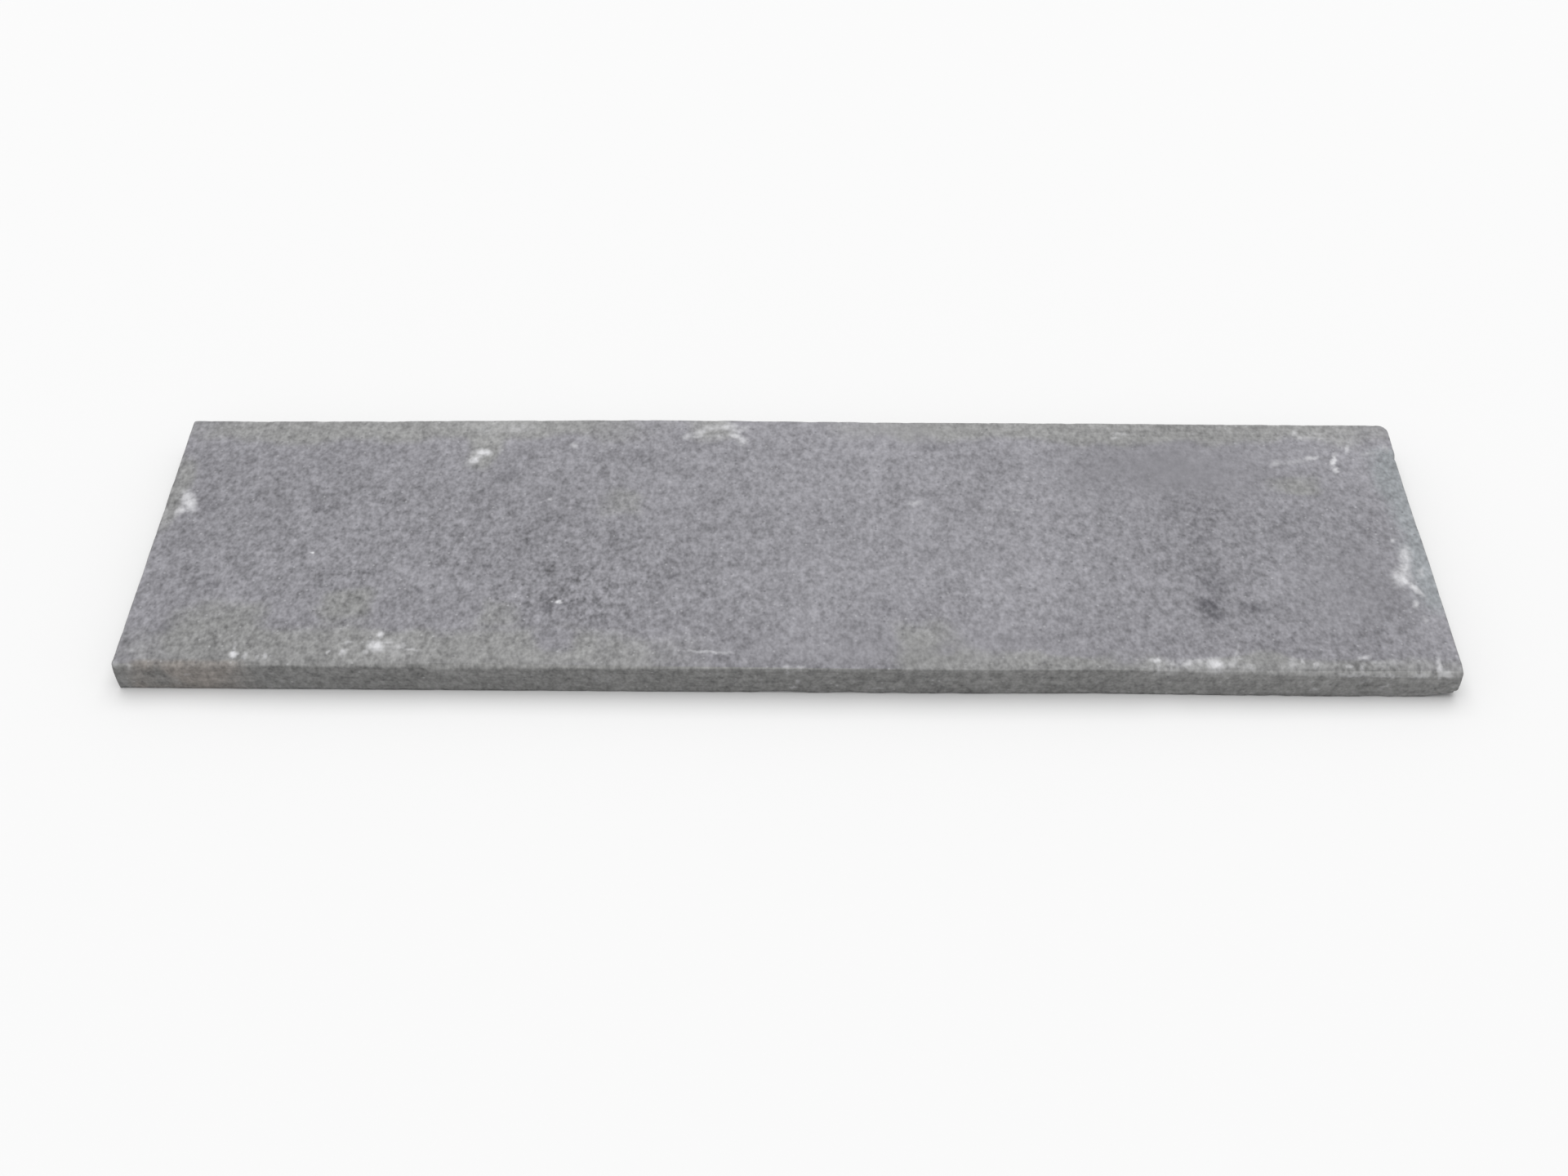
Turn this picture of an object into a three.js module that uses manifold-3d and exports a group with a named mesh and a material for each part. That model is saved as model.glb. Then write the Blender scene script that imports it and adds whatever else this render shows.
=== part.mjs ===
// A flat bench whetstone: one slab of fine-grained stone, sawn and rubbed flat. Millimetres, +Z up.
// The origin is the middle of the underside. +X runs along the length. The long edge at -Y is the one
// that tools and knocks have worn: its top arris grows rounder towards the +X end.

import * as THREE from 'three';
import { mergeVertices } from 'three/addons/utils/BufferGeometryUtils.js';
import Module from 'manifold-3d';

// The slab
const LENGTH = 254;
const WIDTH = 70;
const THICKNESS = 7;

// Its edges
const ARRIS = 0.25;              // rounding of every edge of the two broad faces
const ARRIS_STEPS = 2;
const FRONT_LEFT_RADIUS = 0.4;   // upright corners, seen from above
const FRONT_RIGHT_RADIUS = 0.8;
const BACK_RIGHT_RADIUS = 1.8;
const BACK_LEFT_RADIUS = 0.6;
const CORNER_STEPS = 6;

// The worn stretch of the front top arris: a rounding that starts from nothing and widens to the +X end
const WEAR_LENGTH = 96;
const WEAR_RADIUS = 1.5;         // at the +X end
const WEAR_FLATS = 4;            // flats that stand for the rounding
const WEAR_BLOCK = 12;           // how far each cut reaches past the flat that it leaves

// The knocked lower corner at +X, -Y: a shallow scoop that lifts the bottom edge
const KNOCK_LENGTH = 3;
const KNOCK_WIDTH = 2.6;
const KNOCK_HEIGHT = 0.8;

// The nick in the +X end, near the back corner
const NICK_FROM_BACK = 10.7;
const NICK_LENGTH = 2.4;
const NICK_DEPTH = 0.35;

// Small chips along the front top arris: distance from the -X end, length along the arris, bite
const CHIP_BITE_RATIO = 0.7;     // height of a chip against its bite into the top
const FRONT_CHIPS = [
  { fromLeft: 3.5, length: 3.4, bite: 0.5 },
  { fromLeft: 27, length: 4.2, bite: 0.5 },
  { fromLeft: 62, length: 5, bite: 0.6 },
  { fromLeft: 143, length: 4.6, bite: 0.5 },
  { fromLeft: 199, length: 6.5, bite: 0.9 },
  { fromLeft: 209, length: 5, bite: 0.8 },
];

const SCOOP_DETAIL = 2;
const STONE_COLOUR = 0x949398;
const STONE_ROUGHNESS = 0.85;

const wasm = await Module();
wasm.setup();

/** Turns a closed geometry into a solid that can be cut. */
function toSolid(geometry) {
  const bare = geometry.clone();
  bare.deleteAttribute('normal');
  bare.deleteAttribute('uv');
  const merged = mergeVertices(bare);
  return new wasm.Manifold(new wasm.Mesh({
    numProp: 3,
    vertProperties: new Float32Array(merged.attributes.position.array),
    triVerts: new Uint32Array(merged.index.array),
  }));
}

/** Turns a cut solid back into a geometry. */
function toGeometry(solid) {
  const mesh = solid.getMesh();
  const geometry = new THREE.BufferGeometry();
  geometry.setAttribute('position', new THREE.BufferAttribute(mesh.vertProperties, 3));
  geometry.setIndex(new THREE.BufferAttribute(mesh.triVerts, 1));
  geometry.computeVertexNormals();
  return geometry;
}

/** The slab's outline from above: a rectangle whose four corners have their own radii. */
function slabOutline() {
  const x = LENGTH / 2;
  const y = WIDTH / 2;
  const corners = [
    { x: -x, y: -y, radius: FRONT_LEFT_RADIUS },
    { x, y: -y, radius: FRONT_RIGHT_RADIUS },
    { x, y, radius: BACK_RIGHT_RADIUS },
    { x: -x, y, radius: BACK_LEFT_RADIUS },
  ];
  const points = [];
  corners.forEach((corner, index) => {
    const centre = new THREE.Vector2(
      corner.x - Math.sign(corner.x) * corner.radius,
      corner.y - Math.sign(corner.y) * corner.radius,
    );
    const start = Math.PI + index * Math.PI / 2;
    for (let step = 0; step <= CORNER_STEPS; step += 1) {
      const angle = start + (step / CORNER_STEPS) * Math.PI / 2;
      points.push(new THREE.Vector2(
        centre.x + corner.radius * Math.cos(angle),
        centre.y + corner.radius * Math.sin(angle),
      ));
    }
  });
  return new THREE.Shape(points);
}

/** The whole slab before wear, standing on z = 0. */
function sawnSlab() {
  const geometry = new THREE.ExtrudeGeometry(slabOutline(), {
    depth: THICKNESS - 2 * ARRIS,
    bevelEnabled: true,
    bevelThickness: ARRIS,
    bevelSize: ARRIS,
    bevelOffset: -ARRIS,
    bevelSegments: ARRIS_STEPS,
    steps: 1,
  });
  geometry.translate(0, 0, ARRIS);
  return toSolid(geometry);
}

/**
 * One flat of the worn arris. The rounding is a cone whose tip lies on the arris, WEAR_LENGTH from the +X
 * end, and whose radius there is WEAR_RADIUS. The flat touches that cone at the given angle, measured
 * from the front face (0) to the top face (a quarter turn), and a block takes away all that lies outside it.
 */
function wearBlock(angle) {
  const tip = new THREE.Vector3(LENGTH / 2 - WEAR_LENGTH, -WIDTH / 2, THICKNESS);
  const touch = new THREE.Vector3(
    LENGTH / 2,
    -WIDTH / 2 + WEAR_RADIUS * (1 - Math.cos(angle)),
    THICKNESS - WEAR_RADIUS * (1 - Math.sin(angle)),
  );
  const along = touch.clone().sub(tip).normalize();
  const across = new THREE.Vector3(0, Math.sin(angle), Math.cos(angle));
  const outward = new THREE.Vector3().crossVectors(along, across).normalize();
  const level = new THREE.Vector3().crossVectors(outward, along);
  const block = new THREE.BoxGeometry(2 * WEAR_LENGTH, WEAR_BLOCK, WEAR_BLOCK);
  block.translate(WEAR_LENGTH, 0, WEAR_BLOCK / 2);
  block.applyMatrix4(new THREE.Matrix4().makeBasis(along, level, outward).setPosition(tip));
  return toSolid(block);
}

/** A scoop: an ellipsoid with the given half sizes, centred on a point of the slab's surface. */
function scoop(halfX, halfY, halfZ, x, y, z) {
  const geometry = new THREE.IcosahedronGeometry(1, SCOOP_DETAIL);
  geometry.scale(halfX, halfY, halfZ);
  geometry.translate(x, y, z);
  return toSolid(geometry);
}

function wornSlab() {
  let slab = sawnSlab();
  for (let flat = 0; flat < WEAR_FLATS; flat += 1) {
    slab = slab.subtract(wearBlock((flat + 0.5) / WEAR_FLATS * Math.PI / 2));
  }
  slab = slab.subtract(scoop(KNOCK_LENGTH, KNOCK_WIDTH, KNOCK_HEIGHT, LENGTH / 2, -WIDTH / 2, 0));
  slab = slab.subtract(
    scoop(NICK_DEPTH, NICK_LENGTH / 2, THICKNESS / 2, LENGTH / 2, WIDTH / 2 - NICK_FROM_BACK, THICKNESS),
  );
  for (const chip of FRONT_CHIPS) {
    const x = -LENGTH / 2 + chip.fromLeft;
    const height = chip.bite * CHIP_BITE_RATIO;
    slab = slab.subtract(scoop(chip.length / 2, chip.bite, height, x, -WIDTH / 2, THICKNESS));
  }
  return toGeometry(slab);
}

const whetstone = new THREE.Mesh(
  wornSlab(),
  new THREE.MeshStandardMaterial({ color: STONE_COLOUR, roughness: STONE_ROUGHNESS, metalness: 0 }),
);
whetstone.name = 'whetstone';

const object = new THREE.Group();
object.add(whetstone);

export default object;
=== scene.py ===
"""A bench whetstone: one long thin slab of grey stone, sawn, rubbed flat and worn along its front arris.

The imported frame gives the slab's size and place. This script makes the fine surface of the stone in that
place: its worn arrises, chips and knocks are shape, and its grain, mottling, scuffs and stains are its
finish. +X runs along the slab, -Y towards the worn arris and +Z up. Sizes are in metres, apart from those
in the tables of marks, worn stretches, chips and patches, which are in millimetres.
"""

import logging
import math
from dataclasses import dataclass, field
from enum import Enum
from functools import cache
from itertools import product

import bpy
import numpy as np
from mathutils import Matrix, Vector


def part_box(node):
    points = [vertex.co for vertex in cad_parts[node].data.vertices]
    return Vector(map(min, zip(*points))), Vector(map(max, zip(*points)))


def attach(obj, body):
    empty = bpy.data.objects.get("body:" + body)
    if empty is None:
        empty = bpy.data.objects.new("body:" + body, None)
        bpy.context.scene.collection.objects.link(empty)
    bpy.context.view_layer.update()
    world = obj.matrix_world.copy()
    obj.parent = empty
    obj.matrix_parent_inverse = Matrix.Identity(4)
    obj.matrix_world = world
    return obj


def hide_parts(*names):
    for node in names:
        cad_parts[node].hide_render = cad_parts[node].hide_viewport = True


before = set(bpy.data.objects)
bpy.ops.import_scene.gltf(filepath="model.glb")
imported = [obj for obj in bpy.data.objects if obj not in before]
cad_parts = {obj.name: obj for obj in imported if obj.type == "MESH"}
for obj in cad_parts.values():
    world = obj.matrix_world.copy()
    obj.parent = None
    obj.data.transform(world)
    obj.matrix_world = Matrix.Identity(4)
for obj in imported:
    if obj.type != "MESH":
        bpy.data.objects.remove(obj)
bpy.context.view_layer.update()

MM = 0.001
TINY = 1e-12
STONE_NODE = "whetstone"
STONE_SLOT = "hone_stone"
FLOAT = "NodeSocketFloat"
VECTOR = "NodeSocketVector"
NOISE_MIDDLE = 0.5
NOISE_GAIN = 4.0
SPECK_CORE = 0.7
RIM_OUTSIDE = 1.7
RIM_INSIDE = 0.1
Socket = bpy.types.NodeSocket
Pair = tuple[float, float]
Triple = tuple[float, float, float]
Colour = tuple[float, float, float, float]
Value = Socket | Vector | float | tuple[float, ...]
log = logging.getLogger("whetstone")


class Face(Enum):
    """The faces of the slab that carry marks. The value is the direction of a mark's y."""

    WORKING = (0.0, 1.0, 0.0)
    FRONT = (0.0, 0.0, 1.0)


class PatchRim(Enum):
    """How a soft patch fades towards its rim. The value is the power in its formula."""

    HAZY = 2.0
    CRISP = 4.0


@dataclass(frozen=True)
class Mark:
    """One mark: a soft-edged ellipse. All sizes are in millimetres and the turn is in degrees.

    x runs along the slab from its middle. y runs back from the slab's middle on the working face, and up
    from the underside on the front face.
    """

    x: float
    y: float
    half_length: float
    half_width: float
    turn: float = 0.0
    strength: float = 1.0


@dataclass(frozen=True)
class Chip:
    """A flake lost from a front arris, in millimetres: place along the slab, half length and bite."""

    x: float
    half_length: float
    bite: float


@dataclass(frozen=True)
class WornStretch:
    """A stretch of the front top arris that is rubbed round, in millimetres.

    x is its middle along the slab, reach its half length, and breadth and depth the sizes of the rounding
    across the working face and down the front.
    """

    x: float
    reach: float
    breadth: float
    depth: float


@dataclass(frozen=True)
class SoftPatch:
    """A broad soft change of tone on the working face, in millimetres from the middle of the slab."""

    x: float
    y: float
    half_length: float
    half_width: float
    amount: float


LEFT_END_SMEARS = (
    Mark(-122.2, 9.2, 3.1, 1.25, -66, 0.8),
    Mark(-122.9, 10.6, 1.3, 0.8, 60, 0.5),
    Mark(-123.3, 6.3, 1.3, 0.9, 60, 0.65),
    Mark(-63.9, 24.3, 1.7, 1.0, -8, 1.0),
    Mark(-65.4, 22.1, 1.3, 0.9, 45, 0.8),
    Mark(-64.8, 23.2, 1.6, 0.9, 40, 0.5),
    Mark(-94.3, -5.3, 0.38, 0.34, 0, 1.0),
    Mark(-44.1, -18.3, 0.5, 0.45, 0, 1.0),
    Mark(-48.6, 10.4, 0.6, 0.3, 0, 0.5),
    Mark(-44.9, 26.7, 0.8, 0.8, 0, 0.35),
    Mark(-126.2, -34.6, 0.8, 0.4, 0, 0.4),
    Mark(-123.8, -34.7, 0.7, 0.3, 0, 0.25),
    Mark(-14.5, -30.9, 4.6, 0.35, -3, 0.35),
)

BACK_EDGE_SMEARS = (
    Mark(-21.6, 29.6, 1.0, 0.8, 40, 0.45),
    Mark(-19.8, 29.7, 1.6, 0.5, 8, 0.4),
    Mark(-18.6, 31.3, 1.6, 0.8, 40, 0.45),
    Mark(-16.4, 32.6, 2.4, 1.0, 15, 0.35),
    Mark(-13.0, 32.9, 1.8, 0.8, 10, 0.65),
    Mark(-11.2, 31.7, 1.3, 0.6, -50, 0.5),
    Mark(-9.6, 32.3, 1.2, 0.8, 30, 0.45),
    Mark(-11.2, 29.9, 1.3, 0.7, -20, 0.65),
    Mark(-9.9, 28.5, 1.5, 1.0, -75, 0.6),
    Mark(-15.0, 29.8, 1.0, 0.7, 0, 0.3),
    Mark(-57.2, 31.8, 3.2, 1.2, 5, 0.22),
    Mark(-64.6, 31.4, 1.6, 1.2, 0, 0.18),
    Mark(70.0, 31.3, 1.8, 0.4, 0, 0.25),
    Mark(68.8, 29.9, 0.9, 0.4, 0, 0.3),
)

FRONT_LEFT_BRUISES = (
    Mark(-104.2, -32.4, 0.75, 0.7, 0, 0.85),
    Mark(-104.4, -30.6, 1.2, 0.35, 90, 0.25),
    Mark(-102.0, -32.5, 0.8, 0.45, 80, 0.35),
    Mark(-99.5, -32.8, 0.5, 0.35, 90, 0.35),
    Mark(-98.2, -32.7, 0.65, 0.5, 90, 0.6),
    Mark(-86.4, -31.5, 0.5, 0.35, 60, 0.5),
    Mark(-83.7, -31.6, 0.9, 0.7, 60, 0.45),
    Mark(-83.0, -29.1, 1.0, 0.5, 15, 0.35),
    Mark(-77.2, -27.1, 0.75, 0.6, 90, 0.8),
    Mark(-77.7, -30.0, 1.6, 1.3, -30, 0.9),
    Mark(-79.3, -31.3, 0.9, 0.6, 60, 0.45),
    Mark(-75.5, -29.1, 1.0, 0.5, 0, 0.4),
    Mark(-73.1, -29.9, 1.3, 0.8, 20, 0.45),
    Mark(-71.0, -30.8, 1.4, 0.4, -10, 0.4),
    Mark(-73.6, -30.2, 3.2, 1.9, -20, 0.18),
)

FRONT_RIGHT_BRUISES = (
    Mark(69.6, -32.3, 1.0, 0.6, -5, 0.7),
    Mark(69.8, -33.8, 0.9, 0.4, 90, 0.35),
    Mark(72.5, -33.3, 1.2, 0.4, 70, 0.4),
    Mark(75.3, -32.9, 1.3, 0.6, 30, 0.55),
    Mark(77.5, -32.3, 1.3, 0.55, 10, 0.5),
    Mark(80.5, -33.0, 1.6, 1.3, 0, 0.95),
    Mark(83.7, -32.9, 1.4, 0.7, 45, 0.5),
    Mark(85.0, -30.0, 2.0, 0.3, 70, 0.22),
    Mark(85.4, -31.5, 0.5, 0.4, 0, 0.45),
    Mark(86.4, -33.5, 1.6, 0.8, 0, 0.25),
    Mark(77.0, -33.2, 9.5, 1.3, 0, 0.2),
    Mark(95.0, -32.6, 1.2, 0.8, 80, 0.35),
    Mark(97.0, -32.2, 0.8, 0.4, 90, 0.4),
    Mark(99.2, -33.0, 0.7, 0.5, 60, 0.6),
    Mark(99.0, -33.1, 2.4, 1.0, 0, 0.2),
    Mark(105.5, -33.3, 0.5, 0.4, 0, 0.4),
    Mark(108.7, -31.2, 1.2, 0.5, 15, 0.45),
    Mark(108.0, -33.3, 1.1, 0.45, 75, 0.4),
    Mark(110.9, -32.6, 1.0, 0.7, 0, 0.35),
    Mark(113.5, -32.3, 1.3, 0.7, 15, 0.25),
    Mark(122.4, -32.7, 1.8, 0.4, 80, 0.55),
    Mark(122.4, -34.4, 0.8, 0.4, 80, 0.5),
)

RIGHT_END_BRUISES = (
    Mark(120.8, 0.0, 0.7, 0.5, 60, 0.4),
    Mark(122.3, -4.2, 2.6, 1.1, 78, 0.6),
    Mark(122.2, -4.7, 1.0, 0.7, 0, 0.85),
    Mark(121.3, -7.8, 1.6, 0.9, 50, 0.85),
    Mark(120.4, -9.8, 2.7, 1.6, 70, 0.65),
    Mark(120.7, -11.0, 1.3, 0.7, 110, 0.85),
    Mark(119.4, -10.6, 1.8, 1.1, 80, 0.45),
    Mark(122.2, -13.1, 2.1, 0.65, -60, 0.85),
    Mark(121.4, -17.4, 1.0, 0.55, 70, 0.6),
    Mark(122.5, -21.3, 0.8, 0.6, 90, 0.35),
    Mark(124.3, -8.8, 1.2, 0.7, 80, 0.35),
    Mark(101.4, 22.4, 1.2, 0.8, 20, 0.3),
    Mark(105.4, 23.0, 3.6, 0.7, 12, 0.22),
    Mark(109.0, 24.1, 1.5, 0.5, 10, 0.6),
    Mark(113.4, 23.4, 2.0, 0.5, 68, 0.85),
    Mark(113.3, 20.5, 1.1, 0.5, 75, 0.8),
    Mark(117.0, 27.1, 1.3, 0.4, 78, 0.45),
    Mark(121.2, 25.6, 1.8, 0.4, 10, 0.3),
    Mark(106.8, 31.9, 0.9, 0.6, 60, 0.4),
    Mark(107.6, 30.4, 0.9, 0.5, -60, 0.4),
    Mark(110.6, 30.3, 3.0, 0.35, 0, 0.25),
    Mark(111.0, 31.6, 2.2, 0.3, 0, 0.2),
    Mark(116.6, 31.4, 1.1, 0.5, 75, 0.3),
    Mark(125.1, 27.4, 1.4, 0.6, 85, 0.3),
    Mark(46.2, 8.1, 1.4, 0.3, 0, 0.35),
    Mark(25.7, 9.9, 1.3, 0.7, 10, 0.3),
    Mark(0.2, -34.5, 0.8, 0.4, 0, 0.35),
    Mark(2.8, -34.5, 0.8, 0.4, 0, 0.35),
)

PALE_MARKS = (
    LEFT_END_SMEARS + BACK_EDGE_SMEARS + FRONT_LEFT_BRUISES + FRONT_RIGHT_BRUISES + RIGHT_END_BRUISES
)

DARK_MARKS = (
    Mark(81.7, -17.9, 2.5, 2.2, 0, 0.95),
    Mark(82.3, -20.8, 2.2, 1.6, 20, 0.7),
    Mark(82.6, -12.4, 4.0, 2.8, 80, 0.38),
    Mark(82.6, 0.0, 1.6, 1.2, 0, 0.35),
    Mark(83.2, 9.0, 1.6, 0.9, 80, 0.35),
    Mark(79.2, -6.4, 1.6, 1.2, 0, 0.3),
    Mark(89.8, -18.4, 3.2, 1.3, -8, 0.5),
    Mark(96.8, -17.4, 2.2, 1.2, -20, 0.25),
    Mark(-45.8, -19.8, 1.9, 1.0, 15, 0.55),
    Mark(-46.8, -17.2, 1.0, 0.7, 40, 0.35),
    Mark(-43.4, -18.9, 0.6, 0.5, 0, 0.7),
    Mark(-111.8, -14.4, 1.6, 0.8, -30, 0.45),
    Mark(-59.2, -8.8, 0.9, 0.7, 0, 0.5),
    Mark(-71.8, -15.2, 1.0, 0.8, -30, 0.45),
    Mark(-95.0, 7.4, 2.6, 1.0, -30, 0.35),
    Mark(-114.4, 9.8, 1.0, 0.5, -10, 0.4),
    Mark(-104.8, 17.4, 1.0, 0.8, 0, 0.35),
    Mark(-97.4, 19.4, 0.9, 0.5, 0, 0.4),
    Mark(-118.0, 7.6, 2.6, 2.0, 0, 0.28),
    Mark(-57.8, 17.8, 2.6, 1.8, 20, 0.35),
    Mark(-30.8, 24.2, 2.6, 1.5, 0, 0.25),
    Mark(29.8, 26.6, 2.6, 1.4, 10, 0.3),
    Mark(-22.8, -11.2, 1.4, 0.7, 20, 0.45),
    Mark(-15.6, -12.4, 0.9, 0.7, 0, 0.4),
    Mark(53.4, -22.0, 1.1, 1.0, 0, 0.4),
    Mark(19.0, -20.0, 2.4, 2.2, 0, 0.22),
    Mark(-6.4, 5.6, 1.0, 0.7, 0, 0.35),
    Mark(48.0, 21.6, 0.8, 0.6, 0, 0.35),
)

FRONT_FACE_MARKS = (
    Mark(-113.0, 4.0, 0.5, 0.4, 0, 0.2),
    Mark(-35.8, 3.8, 1.2, 0.5, 90, 0.2),
    Mark(-33.4, 3.6, 1.2, 0.4, 80, 0.18),
    Mark(2.2, 3.3, 0.7, 0.4, 90, 0.45),
    Mark(1.5, 1.7, 0.8, 0.35, 0, 0.4),
    Mark(17.4, 1.6, 1.2, 0.3, 0, 0.25),
    Mark(98.9, 4.3, 0.6, 0.3, 30, 0.2),
    Mark(99.8, 2.1, 0.8, 0.5, 0, 0.35),
    Mark(108.6, 4.6, 1.0, 0.5, 20, 0.2),
    Mark(112.6, 3.2, 0.8, 0.4, 20, 0.3),
    Mark(112.2, 2.0, 0.5, 0.3, 0, 0.2),
    Mark(106.3, 6.0, 2.6, 0.35, 0, 0.35),
    Mark(112.4, 5.9, 2.4, 0.35, 0, 0.35),
    Mark(118.6, 5.9, 2.0, 0.35, 5, 0.3),
    Mark(123.6, 6.1, 1.4, 0.4, -20, 0.5),
)

WORN_STRETCHES = (
    WornStretch(-117.0, 11.0, 1.6, 1.4),
    WornStretch(-54.0, 42.0, 2.6, 0.55),
)

TOP_CHIPS = (
    Chip(-123.5, 1.7, 0.35),
    Chip(-100.0, 2.1, 0.35),
    Chip(-65.0, 2.5, 0.40),
    Chip(16.0, 2.3, 0.35),
    Chip(72.0, 3.2, 0.55),
    Chip(82.0, 2.5, 0.50),
    Chip(97.5, 2.2, 0.40),
)

FOOT_CHIPS = (
    Chip(-1.0, 5.5, 0.24),
    Chip(12.0, 3.4, 0.28),
    Chip(20.5, 2.6, 0.22),
    Chip(30.5, 2.8, 0.18),
)

LIGHT_PATCHES = (
    SoftPatch(-85.0, 36.0, 75.0, 6.5, 0.50),
    SoftPatch(28.0, 36.0, 40.0, 7.0, 0.50),
    SoftPatch(-15.0, 34.0, 9.0, 6.0, 0.30),
    SoftPatch(112.0, 33.0, 16.0, 9.0, 0.45),
    SoftPatch(75.0, 36.0, 25.0, 6.0, 0.20),
    SoftPatch(-59.0, 31.5, 8.0, 4.0, 0.30),
    SoftPatch(12.0, 6.0, 48.0, 26.0, 0.26),
    SoftPatch(16.0, 16.0, 8.0, 10.0, 0.18),
    SoftPatch(50.0, 24.0, 9.0, 11.0, 0.30),
    SoftPatch(51.0, -13.0, 8.0, 8.0, 0.34),
    SoftPatch(-72.0, 24.0, 16.0, 10.0, 0.26),
    SoftPatch(116.0, 20.0, 7.0, 11.0, 0.35),
    SoftPatch(126.0, -6.0, 5.0, 30.0, 0.70),
    SoftPatch(-126.0, -2.0, 4.0, 10.0, 0.25),
    SoftPatch(-79.0, -29.0, 8.0, 5.0, 0.30),
    SoftPatch(-41.0, -31.0, 9.0, 4.5, 0.50),
    SoftPatch(-67.0, -23.0, 7.0, 5.0, -0.28),
    SoftPatch(84.0, -6.0, 8.0, 22.0, -0.34),
    SoftPatch(74.0, 22.0, 20.0, 9.0, -0.18),
    SoftPatch(112.0, -14.0, 11.0, 13.0, -0.22),
    SoftPatch(-112.0, 4.0, 14.0, 26.0, -0.22),
    SoftPatch(-66.0, 2.0, 24.0, 20.0, -0.26),
    SoftPatch(-36.0, -6.0, 16.0, 20.0, -0.16),
    SoftPatch(-112.0, -28.0, 16.0, 7.0, -0.25),
    SoftPatch(-114.0, -35.0, 9.0, 3.5, -0.25),
    SoftPatch(50.0, -35.0, 55.0, 3.0, -0.26),
    SoftPatch(-58.0, -35.0, 38.0, 2.6, 0.25),
    SoftPatch(95.0, -33.5, 5.0, 3.0, -0.30),
    SoftPatch(112.0, -34.5, 11.0, 2.6, -0.45),
    SoftPatch(81.0, -25.0, 8.0, 3.5, -0.28),
    SoftPatch(105.0, -23.0, 5.0, 6.0, 0.28),
    SoftPatch(-22.0, -16.0, 6.0, 7.0, 0.20),
)

NEUTRAL_PATCHES = (
    SoftPatch(-81.0, 34.5, 50.0, 6.0, 1.0),
    SoftPatch(-15.5, 34.0, 5.0, 6.0, 0.7),
    SoftPatch(70.0, 34.5, 61.0, 5.4, 1.0),
    SoftPatch(-64.5, 25.0, 4.0, 5.5, 0.9),
    SoftPatch(-34.5, 8.5, 4.0, 4.5, 0.6),
    SoftPatch(104.5, 16.5, 6.0, 3.6, 0.8),
    SoftPatch(-86.0, -20.0, 5.0, 4.5, 0.9),
    SoftPatch(-55.0, -20.5, 4.5, 4.5, 0.7),
    SoftPatch(-109.0, -24.0, 9.0, 6.0, 0.8),
    SoftPatch(-74.0, -31.5, 55.0, 6.0, 1.0),
    SoftPatch(-45.5, -29.5, 4.0, 3.0, -0.8),
    SoftPatch(26.0, -29.0, 6.0, 7.0, 0.8),
    SoftPatch(78.0, -35.0, 55.0, 3.6, 1.0),
    SoftPatch(-127.0, 12.0, 3.5, 12.0, 0.8),
)

CALM_PATCHES = (
    SoftPatch(80.0, 21.0, 21.0, 9.0, 0.75),
    SoftPatch(112.0, -12.0, 10.0, 11.0, 0.35),
    SoftPatch(25.0, -30.0, 30.0, 4.0, 0.35),
    SoftPatch(24.0, 32.0, 11.0, 4.0, 0.4),
    SoftPatch(-76.0, -8.0, 55.0, 22.0, -0.14),
    SoftPatch(-40.0, -16.0, 12.0, 9.0, -0.3),
)


class LatticeNoise:
    """Smooth random values in space, the same at every run for the same seed.

    The value at a corner of the cubic lattice is looked up in a table. Its place in the table is the
    corner's three whole numbers, each times a large prime, joined by exclusive or.
    """

    TABLE_SIZE = 1 << 16
    STRIDES = (73856093, 19349663, 83492791)
    LAYER_SHIFT = 17.3

    def __init__(self, seed: int) -> None:
        """Fills the table of corner values.

        Args:
            seed: number that fixes the pattern.
        """
        self.table = np.random.default_rng(seed).uniform(-1.0, 1.0, self.TABLE_SIZE)

    def at(self, points: np.ndarray, cell: float) -> np.ndarray:
        """One layer of noise: the random values at the eight corners of a cubic cell, blended by an ease.

        The ease of the place t within the cell, from 0 to 1, is 6 t^5 - 15 t^4 + 10 t^3.

        Args:
            points: places, one row each.
            cell: edge of the cubic cell, in the same unit.

        Returns:
            One value from -1 to 1 for each point.
        """
        place = points / cell
        corner = np.floor(place).astype(np.int64)
        t = place - corner
        ease = t * t * t * (t * (6.0 * t - 15.0) + 10.0)
        total = np.zeros(len(points))
        for step in product((0, 1), repeat=3):
            key = np.zeros(len(points), np.int64)
            weight = np.ones(len(points))
            for axis, (offset, stride) in enumerate(zip(step, self.STRIDES)):
                key ^= (corner[:, axis] + offset) * stride
                weight *= ease[:, axis] if offset else 1.0 - ease[:, axis]
            total += weight * self.table[key & (self.TABLE_SIZE - 1)]
        return total

    def layered(self, points: np.ndarray, cell: float, layers: int, keep: float) -> np.ndarray:
        """Layers of noise added up, each half the cell of the last and `keep` times as strong.

        Args:
            points: places, one row each.
            cell: edge of the coarsest cell.
            layers: how many layers.
            keep: strength of each layer against the one before.

        Returns:
            One value for each point, mostly from -1 to 1.
        """
        total = np.zeros(len(points))
        for layer in range(layers):
            shifted = points + self.LAYER_SHIFT * layer * cell
            total += keep**layer * self.at(shifted, cell / 2**layer)
        return total


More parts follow.
